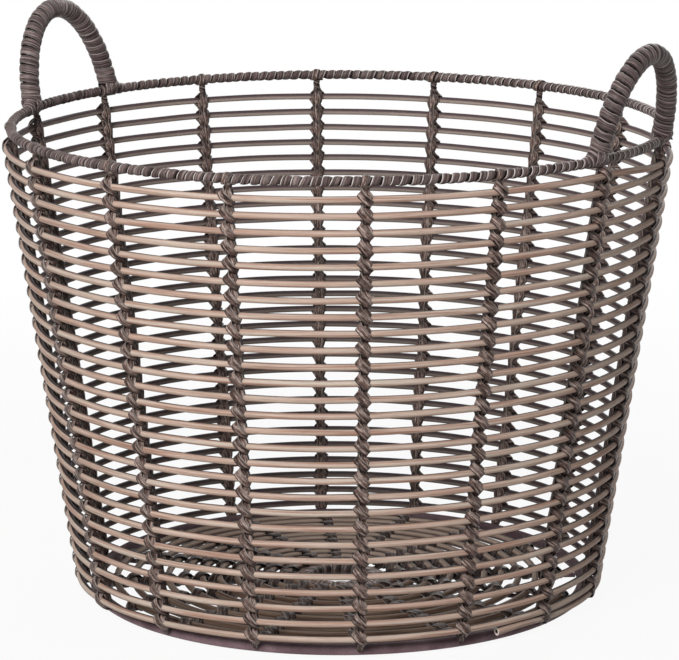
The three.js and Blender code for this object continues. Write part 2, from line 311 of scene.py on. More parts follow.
# Camera, light and floor
CAMERA_AZIMUTH = math.radians(29.45)
CAMERA_ELEVATION = math.radians(12.42)
CAMERA_DISTANCE = 2.608
CAMERA_TARGET = 0.1805
CAMERA_SIDE = 0.2 * MM
CAMERA_LENS = 202
CAMERA_SENSOR = 36
CAMERA_FAR = 50
LAMP_TARGET = (0, 0, 0.15)
WORLD_LIGHT = 0.1
WORLD_TINT = (1, 0.99, 0.98, 1)
FLOOR_SIZE = 4
FLOOR_FADE = 1.1
FLOOR_WHITE = 0.93

# Lamps: place as seen from the camera (to its right, away from it, up), width and power
LAMPS = {
    "key": ((-0.9, -2.2, 1.5), 1.0, 53),
    "top": ((-0.4, 0.0, 2.4), 1.8, 12),
    "back": ((0.7, 2.3, 1.2), 1.4, 16),
}

# Worked out from the sizes above
WALL_LEAN = math.atan2(STAKE_TOP_RADIUS - STAKE_FOOT_RADIUS, RIM_HEIGHT)
BAY = TURN / STAKE_COUNT
FIRST_STAKE = BAY / 2
FOOT_ANGLE = math.asin(HANDLE_HALF_SPAN / RIM_RADIUS)
LASHED_TURNS = math.floor(
    (1 + (FIRST_ROW - BOTTOM_ROW - 2 * CANE_RADIUS - ROW_GAP) / ROW_PITCH) * STAKE_COUNT
) / STAKE_COUNT
TAIL_TURNS = TAIL_LENGTH / (TURN * STAKE_FOOT_RADIUS)


def wall_radius(height, distance=0.0):
    """Radius of the wall at a height, a distance outside the stakes' centrelines."""
    slope = (STAKE_TOP_RADIUS - STAKE_FOOT_RADIUS) / RIM_HEIGHT
    return STAKE_FOOT_RADIUS + slope * height + distance / math.cos(WALL_LEAN)


def polar(radius, angle, height):
    """Points at a radius, an angle and a height; each may be an array."""
    radius, angle, height = np.broadcast_arrays(radius, angle, height)
    return np.stack([radius * np.cos(angle), radius * np.sin(angle), height], axis=-1)


def unit(vectors):
    """Vectors at length one."""
    return vectors / np.linalg.norm(vectors, axis=-1, keepdims=True)


def tangents(points):
    """The direction of a line of points at each of them."""
    return unit(np.gradient(points, axis=0))


def smoothstep(value, low, high):
    """Zero up to low, one from high on, and an even rise between them."""
    share = np.clip((value - low) / (high - low), 0, 1)
    return share * share * (3 - 2 * share)


def wave(value, rates):
    """A repeatable waver between about -1 and 1 made of a few sines."""
    return sum(np.sin(value * rate + rate * rate) for rate in rates) / len(rates)


def upright(count):
    """So many vectors that point up."""
    return np.tile([0.0, 0.0, 1.0], (count, 1))


def circle(radius, sides):
    """A round section."""
    angles = np.arange(sides) / sides * TURN
    return np.stack([radius * np.cos(angles), radius * np.sin(angles)], axis=-1)


def flat_strip(width, thickness, dome=0.25):
    """Section of a flat strip: across and outward offsets, counter-clockwise, slightly domed."""
    half = width / 2
    edge = thickness / 2
    shares = np.linspace(1, -1, STRIP_COLUMNS)
    top = [[half * s, edge + thickness * dome * (1 - s * s) - edge * 0.7 * (abs(s) == 1)] for s in shares]
    bottom = [[-half, -edge * 0.6], [-half * 0.9, -edge], [half * 0.9, -edge], [half, -edge * 0.6]]
    return np.array(top + bottom)


def linked(name, data):
    """A new object in the scene."""
    made = bpy.data.objects.new(name, data)
    bpy.context.scene.collection.objects.link(made)
    return made


class Skin:
    """Gathers swept skins into one mesh."""

    def __init__(self):
        self.points = []
        self.faces = []
        self.uvs = []
        self.slots = []
        self.marks = []
        self.count = 0

    def sweep(self, centres, across, outward, section, closed=False, slots=None, marks=None):
        """Sweeps a section along centres. Its first number goes along across and its second along outward.

        Marks say how open to the light each ring lies: 1 in the open and 0.5 deep in a knot.
        """
        section = np.broadcast_to(section, (len(centres),) + section.shape[-2:])
        rings = centres[:, None] + across[:, None] * section[:, :, :1] + outward[:, None] * section[:, :, 1:]
        rows, sides = rings.shape[:2]
        lengths = np.linalg.norm(np.diff(centres, axis=0, append=centres[:1]), axis=1)
        along = np.concatenate([[0], np.cumsum(lengths)])
        spans = rows if closed else rows - 1
        i = np.repeat(np.arange(spans), sides)
        j = np.tile(np.arange(sides), spans)
        k = (i + 1) % rows
        beside = (j + 1) % sides
        quads = np.stack([i * sides + j, i * sides + beside, k * sides + beside, k * sides + j], axis=-1)
        u = along[np.stack([i, i, i + 1, i + 1], axis=-1)]
        v = np.stack([j, j + 1, j + 1, j], axis=-1) / sides
        self.points.append(rings.reshape(-1, 3))
        self.faces.append(quads + self.count)
        self.uvs.append(np.stack([u, v], axis=-1).reshape(-1, 2))
        slots = np.zeros(spans, int) if slots is None else slots
        self.slots.append(np.repeat(slots, sides))
        marks = np.ones(rows) if marks is None else marks
        self.marks.append(marks[np.stack([i, i, k, k], axis=-1)].reshape(-1))
        if not closed:
            self.cap(np.arange(sides)[::-1], along[0], slots[0], marks[0])
            self.cap(np.arange(sides) + (rows - 1) * sides, along[rows - 1], slots[-1], marks[-1])
        self.count += rows * sides

    def cap(self, corners, along, slot, mark):
        """Closes a sweep's end with a face."""
        self.marks.append(np.full(len(corners), mark))
        self.faces.append((corners + self.count)[None, :])
        around = np.arange(len(corners)) / len(corners)
        self.uvs.append(np.stack([np.full(len(corners), along), around], axis=-1))
        self.slots.append(np.array([slot]))

    def build(self, name, *materials):
        """Makes the mesh object, smooth with sharp edges."""
        points = np.concatenate(self.points)
        totals = np.concatenate([np.full(len(f), f.shape[1]) for f in self.faces])
        corners = np.concatenate([f.reshape(-1) for f in self.faces])
        mesh = bpy.data.meshes.new(name)
        mesh.vertices.add(len(points))
        mesh.vertices.foreach_set("co", points.astype(np.float32).ravel())
        mesh.loops.add(len(corners))
        mesh.loops.foreach_set("vertex_index", corners.astype(np.int32))
        mesh.polygons.add(len(totals))
        starts, slots = np.cumsum(totals) - totals, np.concatenate(self.slots)
        for kind, values in (("loop_start", starts), ("loop_total", totals), ("material_index", slots)):
            mesh.polygons.foreach_set(kind, values.astype(np.int32))
        mesh.update(calc_edges=True)
        marks = np.repeat(np.concatenate(self.marks), 2)
        for kind, values in (("strip", np.concatenate(self.uvs)), ("painted_light_marks", marks)):
            layer = mesh.uv_layers.new(name=kind)
            layer.data.foreach_set("uv", values.astype(np.float32).ravel())
        mesh.shade_smooth()
        mesh.set_sharp_from_angle(angle=SHARP_ANGLE)
        for material in materials:
            mesh.materials.append(material)
        return linked(name, mesh)


def spline(points, steps):
    """A smooth curve through control rows, Catmull-Rom, with equal steps in each span."""
    points = np.asarray(points, float)
    before = np.concatenate([2 * points[:1] - points[1:2], points[:-2]])
    after = np.concatenate([points[2:], 2 * points[-1:] - points[-2:-1]])
    here, there = points[:-1], points[1:]
    t = (np.arange(steps) / steps)[None, :, None]
    p0, p1, p2, p3 = (p[:, None, :] for p in (before, here, there, after))
    curve = 2 * p1 + (p2 - p0) * t
    curve += (2 * p0 - 5 * p1 + 4 * p2 - p3) * t**2 + (3 * p1 - p0 - 3 * p2 + p3) * t**3
    curve /= 2
    return np.concatenate([curve.reshape(-1, points.shape[1]), points[-1:]])


def row_height(turns):
    """Height of the wall cane so many turns from the first stake."""
    turns = np.asarray(turns, float)
    dip = (ROW_PITCH - 2 * CANE_RADIUS - ROW_GAP) * (1 - smoothstep(turns, 0, 1 / STAKE_COUNT))
    level = np.maximum(FIRST_ROW - ROW_PITCH * np.maximum(turns, 0) - dip, BOTTOM_ROW)
    loose = (turns - LASHED_TURNS) / TAIL_TURNS
    return level + TAIL_RISE * smoothstep(loose, 0, 0.35) - TAIL_DROP * smoothstep(loose, 0.5, 1.2)


def wall_cane(cane, cut, bore):
    """The cane of the wall: one long helix from the stub under the rim to the loose tail.

    Each of its ends is a cut tube: a narrow ring follows the last one, and another lies inside the bore.
    """
    start = -START_STUB / (TURN * wall_radius(FIRST_ROW))
    end = LASHED_TURNS + TAIL_TURNS
    turns = np.linspace(start, end, round((end - start) * CANE_STEPS))
    waver = ROW_WAVER * wave(turns, ROW_WAVES) * np.sin(turns * STAKE_COUNT * math.pi) ** 2
    height = row_height(turns) + waver
    angle = FIRST_STAKE - turns * TURN
    centres = polar(wall_radius(height, CANE_OFFSET), angle, height)
    outward = polar(1, angle, 0)
    directions = tangents(centres)
    head = centres[0] + directions[0] * CANE_BORE_DEPTH
    tail = centres[-1] - directions[-1] * CANE_BORE_DEPTH
    centres = np.concatenate([[head, centres[0]], centres, [centres[-1], tail]])
    outward = np.pad(outward, ((2, 2), (0, 0)), mode="edge")
    flare = 1 + (TAIL_FLARE - 1) * smoothstep((turns - LASHED_TURNS) / TAIL_TURNS, 0.3, 1)
    opening = [CANE_BORE_SHARE] * 2
    scale = np.concatenate([opening, flare, np.multiply(opening, TAIL_FLARE)])
    slots = np.zeros(len(centres) - 1, int)
    slots[[1, -2]] = CUT_SLOT
    slots[[0, -1]] = BORE_SLOT
    section = circle(CANE_RADIUS, CANE_SIDES)[None] * scale[:, None, None]
    skin = Skin()
    skin.sweep(centres, outward, upright(len(centres)), section, slots=slots)
    return skin.build("wall_cane_helix", cane, cut, bore)


def base_cane(cane):
    """The cane of the base: one flat spiral on the spokes."""
    turns = np.arange(0, (BASE_CANE_OUTER - BASE_CANE_INNER) / BASE_PITCH, 1 / BASE_CANE_STEPS)
    radius = BASE_CANE_OUTER - BASE_PITCH * turns
    angle = FIRST_STAKE - turns * TURN
    height = SPOKE_HEIGHT + CANE_OFFSET + BASE_WAVER * wave(turns, BASE_WAVES)
    centres = polar(radius, angle, height)
    skin = Skin()
    skin.sweep(centres, polar(1, angle, 0), upright(len(centres)), circle(CANE_RADIUS, ROD_SIDES))
    return skin.build("base_cane_spiral", cane)


def hoop(name, radius, wire, height, material):
    """A level ring of round wire."""
    angle = np.arange(HOOP_STEPS) / HOOP_STEPS * TURN
    centres = polar(radius, angle, height)
    skin = Skin()
    skin.sweep(centres, upright(len(centres)), polar(1, angle, 0), circle(wire, HOOP_SIDES), closed=True)
    return skin.build(name, material)


def rod(name, start, end, material):
    """A straight wire of a stake or a spoke, with many steps, so that its finish follows its length."""
    share = np.linspace(0, 1, ROD_STEPS)[:, None]
    centres = start * (1 - share) + end * share
    direction = unit(end - start)
    side = unit(np.cross(direction, [-direction[1], direction[0], 0.3]))
    across = np.tile(side, (len(centres), 1))
    outward = np.tile(np.cross(direction, side), (len(centres), 1))
    skin = Skin()
    skin.sweep(centres, across, outward, circle(STAKE_RADIUS, ROD_SIDES))
    return skin.build(name, material)


def wound_section(inner, outer, pitch, lift, sag):
    """Section of one wound turn, measured from the core's centreline: its edges sag, and one is lifted."""
    half = pitch * TURN_COVER / 2
    shares = np.linspace(1, -1, STRIP_COLUMNS)
    rise = outer - inner
    top = [[half * s, inner + rise * (1 - sag * abs(s) ** SAG_CURVE) + lift * s] for s in shares]
    under = half * 0.92
    return np.array(top + [[-under, inner - lift * 0.9], [under, inner + lift * 0.9]])


def rim_winding(strip):
    """The strip wound round the rim hoop, each turn a little uneven."""
    steps = RIM_TURNS * WIND_STEPS
    share = np.arange(steps) / steps
    around = share * RIM_TURNS * TURN
    bow = RIM_STRIP_BOW * wave(share * TURN, BOW_WAVES) * TURN / RIM_TURNS
    angle = share * TURN - TURN / 4 + bow
    spoke = polar(1, angle, 0) * np.cos(around)[:, None] + upright(steps) * np.sin(around)[:, None]
    centres = polar(RIM_RADIUS, angle, RIM_HEIGHT)
    back = np.stack([np.sin(angle), -np.cos(angle), np.zeros(steps)], axis=-1)
    pitch = TURN * RIM_RADIUS / RIM_TURNS
    outer = RIM_STRIP_OUTER - RIM_STRIP_ROOM
    plain = wound_section(RIM_STRIP_INNER, outer, pitch, RIM_STRIP_LIFT, RIM_STRIP_SAG)
    section = np.tile(plain, (steps, 1, 1))
    section[:, :, 1] += (RIM_STRIP_WAVER * wave(around, RIM_WAVES))[:, None]
    skin = Skin()
    skin.sweep(centres, back, spoke, section, closed=True)
    return skin.build("rim_winding", strip)


def arch_points(samples):
    """Places on the +X handle's arch, at shares of its length from the +Y foot, and that length."""
    angle = np.linspace(0, TURN / 2, ARCH_SAMPLES)
    foot = math.sqrt(RIM_RADIUS**2 - HANDLE_HALF_SPAN**2)
    along = HANDLE_RISE * np.sin(angle)
    x = foot + along * math.sin(HANDLE_LEAN)
    z = RIM_HEIGHT + along * math.cos(HANDLE_LEAN)
    points = np.stack([x, HANDLE_HALF_SPAN * np.cos(angle), z], axis=-1)
    lengths = np.concatenate([[0], np.cumsum(np.linalg.norm(np.diff(points, axis=0), axis=1))])
    wanted = samples * lengths[-1]
    places = np.stack([np.interp(wanted, lengths, points[:, axis]) for axis in range(3)], axis=-1)
    return places, lengths[-1]


def wind(skin, centres, directions, start_side, around, inner, outer, pitch, seed):
    """Winds a strip along a route, with slits open between its turns on one side.

    The section turns about the route's direction, and the seed sets how its turns waver.
    """
    inward = unit(np.cross(start_side, directions))
    side = np.cross(directions, inward)
    spoke = side * np.cos(around)[:, None] + inward * np.sin(around)[:, None]
    across, rise = wound_section(0, 1, 1, 0, HANDLE_STRIP_SAG).T
    slit = smoothstep(np.cos(around - HANDLE_SLIT_SIDE), *HANDLE_SLIT_FADE)
    lift = HANDLE_STRIP_LIFT + HANDLE_LIFT_WAVER * wave(around + seed, LIFT_WAVES)
    waver = HANDLE_STRIP_WAVER * wave(around + seed, HANDLE_WAVES)
    inner, outer = (np.broadcast_to(radius, around.shape)[:, None] for radius in (inner, outer))
    wide = across * pitch * (1 - HANDLE_SLIT * slit[:, None] * (across > 0))
    high = inner + rise * (outer - inner) + lift[:, None] * across * 2 + waver[:, None]
    skin.sweep(centres, -directions, spoke, np.stack([wide, high], axis=-1))


def handle_winding(name, strip, turn_by, loose_side):
    """The strip wound on one handle and its feet, made on the +X side and turned about the Z axis."""
    skin = Skin()
    start = (RIM_STRIP_OUTER + HANDLE_START) / arch_points(np.array([0.0]))[1]
    share = np.linspace(start, 1 - start, HANDLE_TURNS * WIND_STEPS)
    around = np.linspace(0, HANDLE_TURNS * TURN, len(share))
    centres, length = arch_points(share)
    directions = tangents(centres)
    across = np.tile([math.cos(HANDLE_LEAN), 0, -math.sin(HANDLE_LEAN)], (len(share), 1))
    pitch = length * (1 - 2 * start) / HANDLE_TURNS
    wind(skin, centres, directions, across, around, HANDLE_STRIP_INNER, HANDLE_STRIP_OUTER, pitch, 0)
    for side in (1, -1):
        elbow(skin, side, length)
        foot_loops(skin, side)
    loose_end(skin, loose_side)
    rotate(skin, turn_by)
    return skin.build(name, strip)


def foot_space(side):
    """Places round a handle's foot: x along the rim away from the grip, y outward, s up from the rim."""
    angle = side * FOOT_ANGLE
    radial = np.array([math.cos(angle), math.sin(angle), 0])
    along = np.array([-math.sin(angle), math.cos(angle), 0]) * side
    middle = radial * RIM_RADIUS + np.array([0, 0, RIM_HEIGHT])

    def place(x, y, s):
        return middle + along * x[..., None] + radial * y[..., None] + np.array([0, 0, 1.0]) * s[..., None]

    return place


def foot_loops(skin, side):
    """Bands that pass from one face of a foot under the rim and up its other face."""
    top, middle = BAND_TOP, BAND_MIDDLE
    lean = math.tan(HANDLE_LEAN)
    for x, slant in FOOT_BANDS:
        start, end = (math.sqrt(HANDLE_STRIP_OUTER**2 - place**2) for place in (x, x + slant))
        turn = x / HANDLE_STRIP_OUTER
        route = [
            (x * 0.9, -start * 0.8 + top * lean, top, turn, -1, 0.2, 0.9),
            (x, -start + middle * lean, middle, turn, -1, 0, 1),
            (x + slant * 0.2, -BAND_INSIDE, -BAND_LOW, turn * 0.5, -0.85, -0.5, 1),
            (x + slant * 0.5, 0, -BAND_UNDER, 0, 0, -1, 1),
            (x + slant * 0.8, BAND_OUTSIDE, -BAND_LOW, turn * 0.5, 0.85, -0.5, 1),
            (x + slant, end + middle * lean, middle, turn, 1, 0, 1),
            (x * 0.9 + slant, end * 0.8 + top * lean, top, turn, 1, 0.2, 0.9),
        ]
        strip_along(skin, foot_space(side), route)


def loose_end(skin, side):
    """The short end of strip that is left standing beside one foot of each handle."""
    strip_along(skin, foot_space(side), in_millimetres(LOOSE_END_ROWS), LOOSE_END_WIDTH)


def elbow(skin, side, length):
    """The fan of turns that carries the winding from the rim round the outer side of a foot."""
    reach = ELBOW_REACH / RIM_RADIUS
    rim_end = polar(RIM_RADIUS, side * (FOOT_ANGLE + reach), RIM_HEIGHT)
    rim_way = polar(1, side * (FOOT_ANGLE + reach) - side * TURN / 4, 0)
    shares = np.array([ELBOW_REACH, ELBOW_REACH + ELBOW_LEG_STEP]) / length
    shares = shares if side > 0 else 1 - shares
    leg, _ = arch_points(shares)
    leg_way = unit(leg[1] - leg[0])
    hold = ELBOW_REACH * ELBOW_HOLD
    first, second = rim_end + rim_way * hold, leg[0] - leg_way * hold
    t = np.linspace(0, 1, ELBOW_TURNS * WIND_STEPS)[:, None]
    rest = 1 - t
    centres = rim_end * rest**3 + 3 * first * t * rest**2 + 3 * second * t**2 * rest + leg[0] * t**3
    directions = tangents(centres)
    outward = np.tile(polar(1, side * FOOT_ANGLE, 0), (len(t), 1))
    around = np.linspace(0, ELBOW_TURNS * TURN, len(t)) * side
    grow = smoothstep(t[:, 0], 0.05, 0.95)
    low, high = RIM_STRIP_OUTER - ELBOW_SINK, HANDLE_STRIP_INNER + ELBOW_SWELL
    inner = low + (high - low) * grow
    outer = inner + ELBOW_THICKNESS
    pitch = np.linalg.norm(np.diff(centres, axis=0), axis=1).sum() / ELBOW_TURNS * ELBOW_SPREAD
    # The -Y foot is wound from its other end, so that the strip leans the same way on both feet
    order = slice(None, None, side)
    centres, directions, inner, outer = centres[order], directions[order] * side, inner[order], outer[order]
    around = around[order] - around[order][0]
    wind(skin, centres, directions, outward, around, inner, outer, pitch, ELBOW_SEEDS[side])


def rotate(skin, angle):
    """Turns the gathered points about the Z axis."""
    c, s = math.cos(angle), math.sin(angle)
    turned = np.array([[c, s, 0], [-s, c, 0], [0, 0, 1]])
    skin.points = [points @ turned for points in skin.points]


def in_millimetres(rows):
    """Control rows whose places, the first three numbers of each, are given in millimetres."""
    return [(x * MM, y * MM, s * MM, *rest) for x, y, s, *rest in rows]


def rows_along(rows, places, start=0):
    """Control rows given in millimetres across and outward, set at these places along a rod from a start."""
    return [(x * MM, y * MM, start + s, *rest) for (x, y, *rest), s in zip(rows, places)]


def strip_along(skin, place, route, width=RUNNER_WIDTH, steps=SPAN_STEPS, light=1.0):
    """A flat strip through control rows in a rod's own space.

    A row holds a position (across, outward, along), a facing in that order and a share of the strip's width.
    """
    rows = spline(route, steps)
    centres = place(*rows[:, :3].T)
    directions = tangents(centres)
    facing = unit(place(*(rows[:, :3] + rows[:, 3:6] * FACING_PROBE).T) - centres)
    facing = unit(facing - directions * np.sum(facing * directions, axis=1, keepdims=True))
    across = np.cross(facing, directions)
    section = np.tile(flat_strip(width, LASH_THICKNESS), (len(rows), 1, 1))
    section[:, :, 0] *= rows[:, 6:7]
    # The width share, times light, is each row's painted light mark
    skin.sweep(centres, across, facing, section, marks=rows[:, 6] * light)


def wrap_route(crossings, above, below):
    """The wrap: behind the rod between canes, and over each cane from upper left to lower right."""
    route = []
    for i, s in enumerate(crossings):
        up, down = above[i], below[i]
        tilt = WRAP_TILT * math.sin(i * 2.4 + s * 900)
        rise = min(WRAP_RISE, up * 0.8) + tilt
        drop = min(WRAP_DROP, down * 0.7) + tilt
        offsets = [up, up * 0.96, rise, WRAP_CREST + tilt, 0, -WRAP_FALL, -drop, -down * 0.9]
        route += rows_along(WRAP_ROWS, offsets, s)
    return route + rows_along(WRAP_ROWS, [crossings[-1] - below[-1]])


def runner_route(crossings, above, below):
    """The runner: in front of the rod between canes, and on the right under the wrap at each cane."""
    route = []
    for s, up, down in zip(crossings, above, below):
        rise = min(RUNNER_RISE, up * 0.7)
        drop = min(RUNNER_DROP, down * 0.6)
        offsets = [up, rise, RUNNER_CREST, -RUNNER_FALL, -drop]
        route += rows_along(RUNNER_ROWS, offsets, s)
    return route + rows_along(RUNNER_ROWS, [crossings[-1] - below[-1]])


def fold_routes(s, up, down):
    """Two folds on the inner side of a cane, widest at its lower edge and narrow above the next cane."""
    right = [up * 0.9, *RIGHT_FOLD, -down - RIGHT_FOLD_TAIL, -down - up * 0.5]
    left = [up + LEFT_FOLD_HEAD, up * 0.75, *LEFT_FOLD, -down * 0.9]
    yield rows_along(RIGHT_FOLD_ROWS, right, s)
    yield rows_along(LEFT_FOLD_ROWS, left, s)


def flank_route(side, top, bottom, crossings, above):
    """The strip along one flank of the rod, filled out between canes and pressed in behind each."""
    end, bulge, pinch = ((side * x, y, side * across, *rest) for x, y, across, *rest in FLANK_ROWS)
    route = rows_along([end], [top])
    for s, up in zip(crossings[1:], above[1:]):
        route += rows_along([bulge, pinch], [up, 0], s)
    return route + rows_along([end], [bottom])


def spine_route(top, bottom, crossings):
    """The strip along the inner side of the rod, pinched a little between canes."""
    end, *knot = SPINE_ROWS
    route = rows_along([end], [top])
    for s in crossings:
        route += rows_along(knot, [SPINE_RISE, -SPINE_DROP], s)
    return route + rows_along([end], [bottom])


def heel_route(top):
    """The strip's end, laid down the outer side of the stake and over the ring."""
    return rows_along(HEEL_ROWS, [top + HEEL_HEAD, top + HEEL_NECK, (top + HEEL) / 2, HEEL])


def coil_route(top, bottom):
    """Plain turns round the rod alone."""
    quarters = max(4, round(abs(top - bottom) / COIL_PITCH * 4))
    route = []
    for q in range(quarters + 1):
        angle = -TURN / 4 - q * TURN / 4
        s = top + (bottom - top) * q / quarters
        x, y = math.cos(angle), math.sin(angle)
        route.append((COIL_RADIUS * x, COIL_RADIUS * y, s, x, y, 0, 1))
    return route


def rim_loop_route():
    """The strip's first turn, slanting over the rim hoop and down to the stake."""
    centre = RIM_RADIUS - wall_radius(RIM_HEIGHT)
    route = []
    for q in range(RIM_LOOP_EIGHTHS):
        angle = (q - 3) * TURN / 8
        y, s = -math.cos(angle), math.sin(angle)
        x = RIM_LOOP_START - RIM_LOOP_STEP * q
        route.append((x, centre + RIM_LOOP_REACH * y, RIM_HEIGHT + RIM_LOOP_REACH * s, 0, y, s, 1))
    return route


def rows_at(stake):
    """Heights of the wall cane where it crosses a stake, from the top down."""
    turns = np.arange(MOST_ROWS) - stake / STAKE_COUNT
    turns = turns[(turns > -SAME_TURN) & (turns < LASHED_TURNS + SAME_TURN)]
    return list(row_height(turns))


def rings_at(stake):
    """Radii of the base cane where it crosses a spoke, from the outside in."""
    turns = np.arange(MOST_ROWS) - stake / STAKE_COUNT
    radii = BASE_CANE_OUTER - BASE_PITCH * turns
    return list(radii[(turns > -SAME_TURN) & (radii > BASE_CANE_INNER)])


def half_gaps(crossings, top, bottom):
    """Half the way from each crossing to the one before and the one after it.

    Before the first and after the last it is the way to top and bottom, and no more than a neck.
    """
    above = []
    below = []
    for i, s in enumerate(crossings):
        up = (crossings[i - 1] - s) / 2 if i else min(NECK, top - s)
        down = (s - crossings[i + 1]) / 2 if i + 1 < len(crossings) else min(NECK, s - bottom)
        above.append(up)
        below.append(down)
    return above, below


def lashing(stake, strip):
    """The knotted strip along one stake and, under the base canes, along its spoke."""
    angle = FIRST_STAKE + stake * BAY
    radial = np.array([math.cos(angle), math.sin(angle), 0])
    side = np.array([-math.sin(angle), math.cos(angle), 0])
    up = np.array([0, 0, 1.0])

    def on_wall(x, y, s):
        return radial * (wall_radius(s) + y)[..., None] + side * x[..., None] + up * s[..., None]

    def on_base(x, y, s):
        return radial * s[..., None] - side * x[..., None] + up * (SPOKE_HEIGHT + y)[..., None]

    skin = Skin()
    rim_under = RIM_HEIGHT - RIM_CLEARANCE
    rows = rows_at(stake)
    above, below = half_gaps(rows, rim_under, KNOT_FOOT)
    neck = rows[0] + above[0]
    ankle = rows[-1] - below[-1]
    strip_along(skin, on_wall, wrap_route(rows, above, below), LASH_WIDTH)
    strip_along(skin, on_wall, runner_route(rows, above, below))
    strip_along(skin, on_wall, spine_route(neck, ankle, rows), SPINE_WIDTH, INNER_STEPS, INNER_LIGHT)
    inside = [flank_route(flank, neck, ankle, rows, above) for flank in (1, -1)]
    for s, rise, drop in zip(rows, above, below):
        inside += fold_routes(s, rise, drop)
    for route in inside:
        strip_along(skin, on_wall, route, steps=INNER_STEPS, light=INNER_LIGHT)
    strip_along(skin, on_wall, rim_loop_route())
    strip_along(skin, on_wall, heel_route(ankle), light=HEEL_LIGHT)
    if rim_under - neck > COIL_OVERLAP:
        coil = coil_route(rim_under + COIL_OVERLAP, neck - COIL_OVERLAP)
        strip_along(skin, on_wall, coil, light=HEEL_LIGHT)
    rings = rings_at(stake)
    outer, inner = half_gaps(rings, BASE_STRIP_OUTER, HUB_RADIUS)
    strip_along(skin, on_base, wrap_route(rings, outer, inner), BASE_WRAP_WIDTH, light=BASE_LIGHT)
    strip_along(skin, on_base, runner_route(rings, outer, inner), BASE_RUNNER_WIDTH, light=BASE_LIGHT)
    strip_along(skin, on_base, in_millimetres(HUB_ROWS), HUB_STRIP_WIDTH, light=BASE_LIGHT)
    return skin.build(f"lashing_strip_{stake + 1:02d}", strip)


# Finishes


def node(tree, kind, **values):
    """Adds a shader node and sets its values."""
    made = tree.nodes.new(f"ShaderNode{kind}")
    for name, value in values.items():
        setattr(made, name, value)
    return made


def plug(value, socket):
    """Gives a socket a plain value, or links another socket of its tree to it."""
    if isinstance(value, (int, float, tuple)):
        socket.default_value = value
    else:
        socket.id_data.links.new(value, socket)


def math_node(tree, operation, *values):
    """One step of arithmetic on sockets and numbers."""
    made = node(tree, "Math", operation=operation)
    for value, socket in zip(values, made.inputs):
        plug(value, socket)
    return made.outputs[0]


def linear(value):
    """The linear share of a display value of 0 to 255."""
    value /= 255
    return value / 12.92 if value <= 0.04045 else ((value + 0.055) / 1.055) ** 2.4


def colours(tones):
    """Linear colours from display tones."""
    return [(*map(linear, tone), 1) for tone in tones]


def grey(value):
    """A linear grey."""
    return (value, value, value, 1)


def ramp(tree, factor, *stops):
    """A colour ramp. Each stop is a position and a linear colour, or one number for a grey."""
    made = node(tree, "ValToRGB")
    elements = made.color_ramp.elements
    while len(elements) < len(stops):
        elements.new(0.5)
    for element, (position, value) in zip(elements, stops):
        element.position = position
        element.color = value if isinstance(value, tuple) else grey(value)
    plug(factor, made.inputs["Fac"])
    return made.outputs["Color"]


def mix(tree, factor, first, second, blend="MIX"):
    """Mixes two colours. The node keeps its factor in its first input and its colours in two later ones."""
    made = node(tree, "Mix", data_type="RGBA", blend_type=blend)
    for slot, value in ((0, factor), (6, first), (7, second)):
        plug(value, made.inputs[slot])
    return made.outputs[2]


def times(tree, tint, *factors):
    """A colour multiplied by others."""
    for factor in factors:
        tint = mix(tree, 1.0, tint, factor, "MULTIPLY")
    return tint


def noise(tree, vector, scale, detail=2.0, roughness=0.5):
    """Soft noise at a place."""
    made = node(tree, "TexNoise")
    for name, value in (("Vector", vector), ("Scale", scale), ("Detail", detail), ("Roughness", roughness)):
        plug(value, made.inputs[name])
    return made.outputs["Fac"]


def start_material(name):
    """An empty material with one shader."""
    material = bpy.data.materials.new(name)
    material.use_nodes = True
    tree = material.node_tree
    tree.nodes.clear()
    output = node(tree, "OutputMaterial")
    shader = node(tree, "BsdfPrincipled")
    plug(shader.outputs[0], output.inputs[0])
    return material, tree, shader


def mix_shaders(tree, factor, first, second):
    """Mixes two shaders."""
    made = node(tree, "MixShader")
    for value, socket in zip((factor, first, second), made.inputs):
        plug(value, socket)
    return made.outputs[0]


def object_place(tree):
    """A point's place in its object."""
    return node(tree, "TexCoord").outputs["Object"]


def parts_of(tree, vector):
    """The three numbers of a vector."""
    split = node(tree, "SeparateXYZ")
    plug(vector, split.inputs[0])
    return split.outputs


def section_place(tree, layer="strip"):
    """How far along a sweep a point lies and how far round its section, from a UV layer."""
    uv = node(tree, "UVMap", uv_map=layer)
    return parts_of(tree, uv.outputs[0])[:2]


def strip_noise(tree, length_scale, round_scale, scale, detail=2.0, roughness=0.5):
    """Noise drawn out along a sweep, that meets itself round the section without a seam."""
    along, around = section_place(tree)
    angle = math_node(tree, "MULTIPLY", around, TURN)
    joined = node(tree, "CombineXYZ")
    plug(math_node(tree, "MULTIPLY", along, length_scale), joined.inputs[0])
    for operation, socket in zip(("COSINE", "SINE"), joined.inputs[1:]):
        plug(math_node(tree, "MULTIPLY", math_node(tree, operation, angle), round_scale), socket)
    return noise(tree, joined.outputs[0], scale, detail, roughness)


def bump(tree, height, distance, strength, shader):
    """Raises a finish's grain."""
    made = node(tree, "Bump")
    for name, value in (("Strength", strength), ("Distance", distance), ("Height", height)):
        plug(value, made.inputs[name])
    plug(made.outputs[0], shader.inputs["Normal"])


def dress(shader, tint, rough, shine):
    """Sets a finish's colour, roughness and shine."""
    for name, value in (("Base Color", tint), ("Roughness", rough), ("Specular IOR Level", shine)):
        plug(value, shader.inputs[name])


